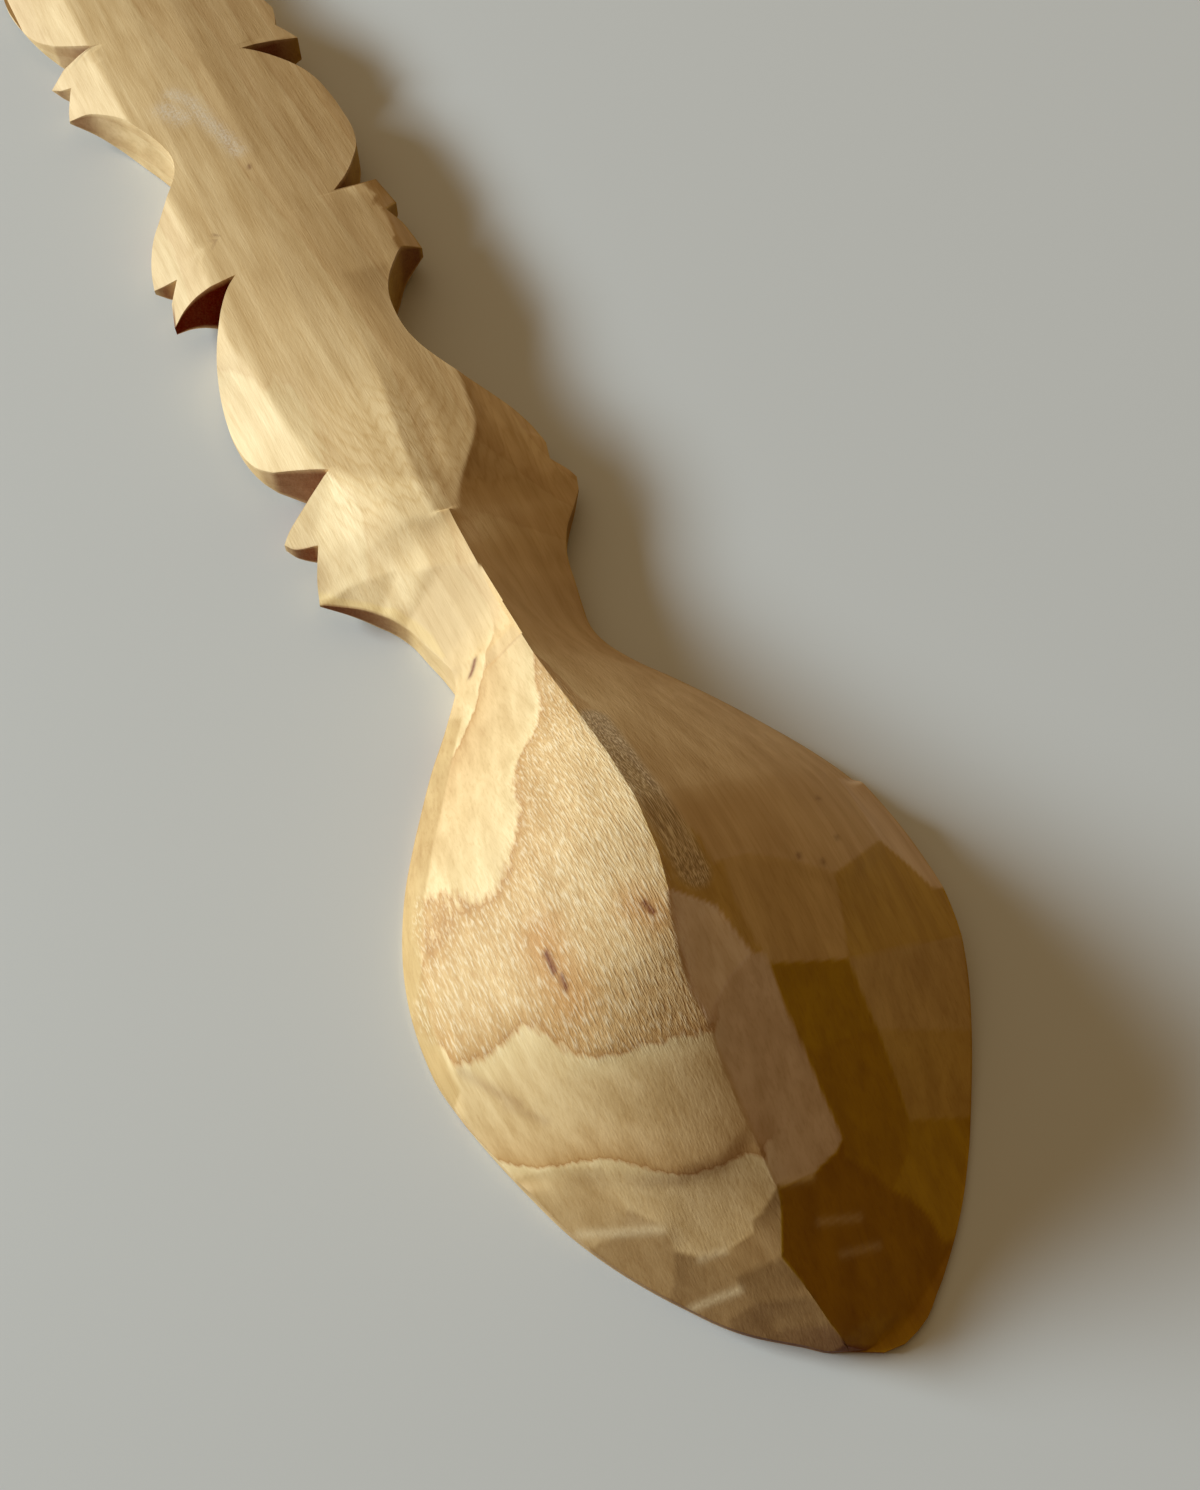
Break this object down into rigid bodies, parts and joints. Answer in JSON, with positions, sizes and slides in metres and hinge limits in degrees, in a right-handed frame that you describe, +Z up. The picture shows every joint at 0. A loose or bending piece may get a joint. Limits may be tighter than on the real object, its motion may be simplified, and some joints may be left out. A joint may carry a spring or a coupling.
{
  "type": "carved love spoon",
  "caption": "Hand carved wooden love spoon with a keeled pointed bowl and a flat handle edged with teeth, lobes and scallops.",
  "frame": {"origin": "on the flat front of the spoon, below the middle of its length and width, so that it lies on the rim of the bowl and the front of the handle as in the picture", "axes": "+X across the spoon, +Y along it from the bowl's tip to the end of the handle, +Z up out of the carved back"},
  "size_m": [0.056, 0.2902, 0.0215],
  "materials": {
    "pale_wood": "bare, knife cut, fine grained pale wood with a dull silky sheen"
  },
  "bodies": {
    "root": {"carved_spoon": "pale_wood"}
  },
  "joints": []
}
